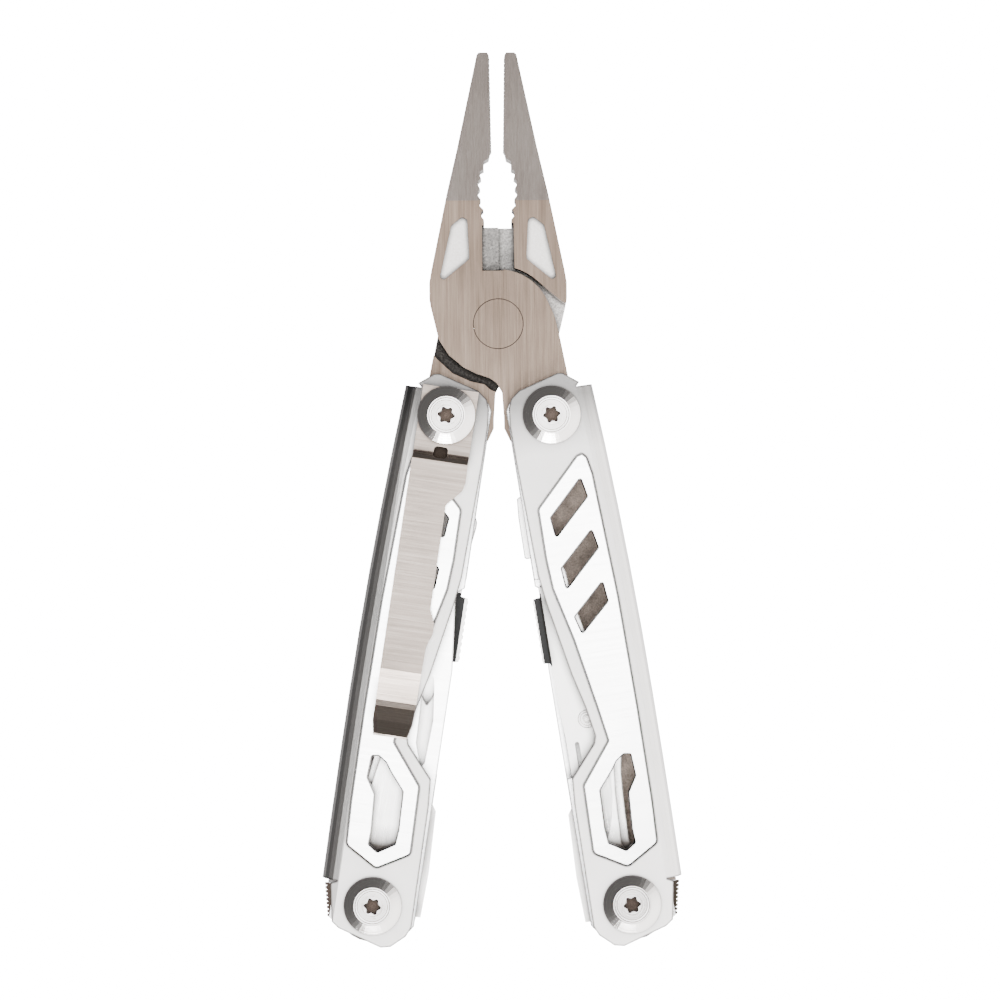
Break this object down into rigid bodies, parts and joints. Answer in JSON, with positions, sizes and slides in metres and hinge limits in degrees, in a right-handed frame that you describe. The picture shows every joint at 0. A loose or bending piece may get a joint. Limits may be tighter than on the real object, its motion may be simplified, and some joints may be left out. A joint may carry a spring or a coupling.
{
  "type": "multi tool",
  "caption": "Folding pliers multi tool with needle-nose jaws, two hollow handles full of folding tools, lock sliders and a pocket clip.",
  "frame": {"origin": "centre of the footprint, on the plane of the rear button faces", "axes": "+Y from the handles' ends to the jaws' tips, +Z out of the face with the pocket clip, +X to the right seen from that face"},
  "size_m": [0.0664, 0.1651, 0.0191],
  "materials": {
    "ground_steel": "ground and lightly brushed along the jaws",
    "satin_shell": "fine bead blasted satin",
    "bright_plate": "smooth bright",
    "button_steel": "turned, with fine rings",
    "tool_steel": "ground flat",
    "lock_steel": "dark oxide",
    "clip_steel": "brushed across its width",
    "bronze": "smooth bearing bronze"
  },
  "bodies": {
    "front_forging": {"front_jaw": "ground_steel", "jaw_rivet": "ground_steel"},
    "rear_forging": {"rear_jaw": "ground_steel"},
    "right_handle": {"right_front_shell": "satin_shell", "right_rear_shell": "satin_shell", "right_front_liner": "bright_plate", "right_rear_liner": "bright_plate", "right_top_screw": "button_steel", "right_top_barrel": "button_steel", "right_tool_screw": "button_steel", "right_tool_barrel": "button_steel", "right_top_washer_1": "bronze", "right_top_washer_2": "bronze", "right_tool_ring_1": "bronze", "right_tool_ring_2": "bronze", "right_tool_ring_3": "bronze", "right_tool_ring_4": "bronze", "right_tool_ring_5": "bronze", "right_stop_pin": "tool_steel", "right_lock_spring": "tool_steel"},
    "right_lock": {"right_lock_slider": "lock_steel", "right_lock_stud": "button_steel"},
    "right_knife_blade": {"right_knife_blade": "tool_steel"},
    "right_saw": {"right_saw": "tool_steel"},
    "right_can_opener": {"right_can_opener": "tool_steel"},
    "right_cross_driver": {"right_cross_driver": "tool_steel"},
    "left_handle": {"left_front_shell": "satin_shell", "left_rear_shell": "satin_shell", "left_front_liner": "bright_plate", "left_rear_liner": "bright_plate", "left_top_screw": "button_steel", "left_top_barrel": "button_steel", "left_tool_screw": "button_steel", "left_tool_barrel": "button_steel", "left_top_washer_1": "bronze", "left_top_washer_2": "bronze", "left_tool_ring_1": "bronze", "left_tool_ring_2": "bronze", "left_tool_ring_3": "bronze", "left_tool_ring_4": "bronze", "left_tool_ring_5": "bronze", "left_stop_pin": "tool_steel", "left_lock_spring": "tool_steel", "pocket_clip": "clip_steel"},
    "left_lock": {"left_lock_slider": "lock_steel", "left_lock_stud": "button_steel"},
    "left_bottle_opener": {"left_bottle_opener": "tool_steel"},
    "left_flat_driver": {"left_flat_driver": "tool_steel"},
    "left_serrated_blade": {"left_serrated_blade": "tool_steel"},
    "left_file": {"left_file": "tool_steel"}
  },
  "joints": [
    {"name": "jaw_pivot", "type": "hinge", "parent": "front_forging", "child": "rear_forging", "pos_m": [0, 0.0324, 0.0082], "axis": [0, 0, 1], "range_deg": [-30, 2.9]},
    {"name": "right_handle_hinge", "type": "hinge", "parent": "front_forging", "child": "right_handle", "pos_m": [0.00968, 0.01548, 0.0082], "axis": [0, 0, 1], "range_deg": [0, 170.5]},
    {"name": "right_knife_blade_hinge", "type": "hinge", "parent": "right_handle", "child": "right_knife_blade", "pos_m": [0.02385, -0.07461, 0.0082], "axis": [0, 0, -1], "range_deg": [0, 180]},
    {"name": "right_saw_hinge", "type": "hinge", "parent": "right_handle", "child": "right_saw", "pos_m": [0.02385, -0.07461, 0.0082], "axis": [0, 0, -1], "range_deg": [0, 180]},
    {"name": "right_can_opener_hinge", "type": "hinge", "parent": "right_handle", "child": "right_can_opener", "pos_m": [0.02385, -0.07461, 0.0082], "axis": [0, 0, -1], "range_deg": [0, 180]},
    {"name": "right_cross_driver_hinge", "type": "hinge", "parent": "right_handle", "child": "right_cross_driver", "pos_m": [0.02385, -0.07461, 0.0082], "axis": [0, 0, -1], "range_deg": [0, 180]},
    {"name": "right_lock_slide", "type": "slide", "parent": "right_handle", "child": "right_lock", "axis": [-0.1554, 0.9879, 0], "range_m": [0, 0.0015], "stiffness_N_per_m": 500, "springref_m": -0.001},
    {"name": "left_handle_hinge", "type": "hinge", "parent": "rear_forging", "child": "left_handle", "pos_m": [-0.00968, 0.01548, 0.0082], "axis": [0, 0, -1], "range_deg": [0, 170.5]},
    {"name": "left_bottle_opener_hinge", "type": "hinge", "parent": "left_handle", "child": "left_bottle_opener", "pos_m": [-0.02385, -0.07461, 0.0082], "axis": [0, 0, 1], "range_deg": [0, 180]},
    {"name": "left_flat_driver_hinge", "type": "hinge", "parent": "left_handle", "child": "left_flat_driver", "pos_m": [-0.02385, -0.07461, 0.0082], "axis": [0, 0, 1], "range_deg": [0, 180]},
    {"name": "left_serrated_blade_hinge", "type": "hinge", "parent": "left_handle", "child": "left_serrated_blade", "pos_m": [-0.02385, -0.07461, 0.0082], "axis": [0, 0, 1], "range_deg": [0, 180]},
    {"name": "left_file_hinge", "type": "hinge", "parent": "left_handle", "child": "left_file", "pos_m": [-0.02385, -0.07461, 0.0082], "axis": [0, 0, 1], "range_deg": [0, 180]},
    {"name": "left_lock_slide", "type": "slide", "parent": "left_handle", "child": "left_lock", "axis": [0.1554, 0.9879, 0], "range_m": [0, 0.0015], "stiffness_N_per_m": 500, "springref_m": -0.001}
  ]
}
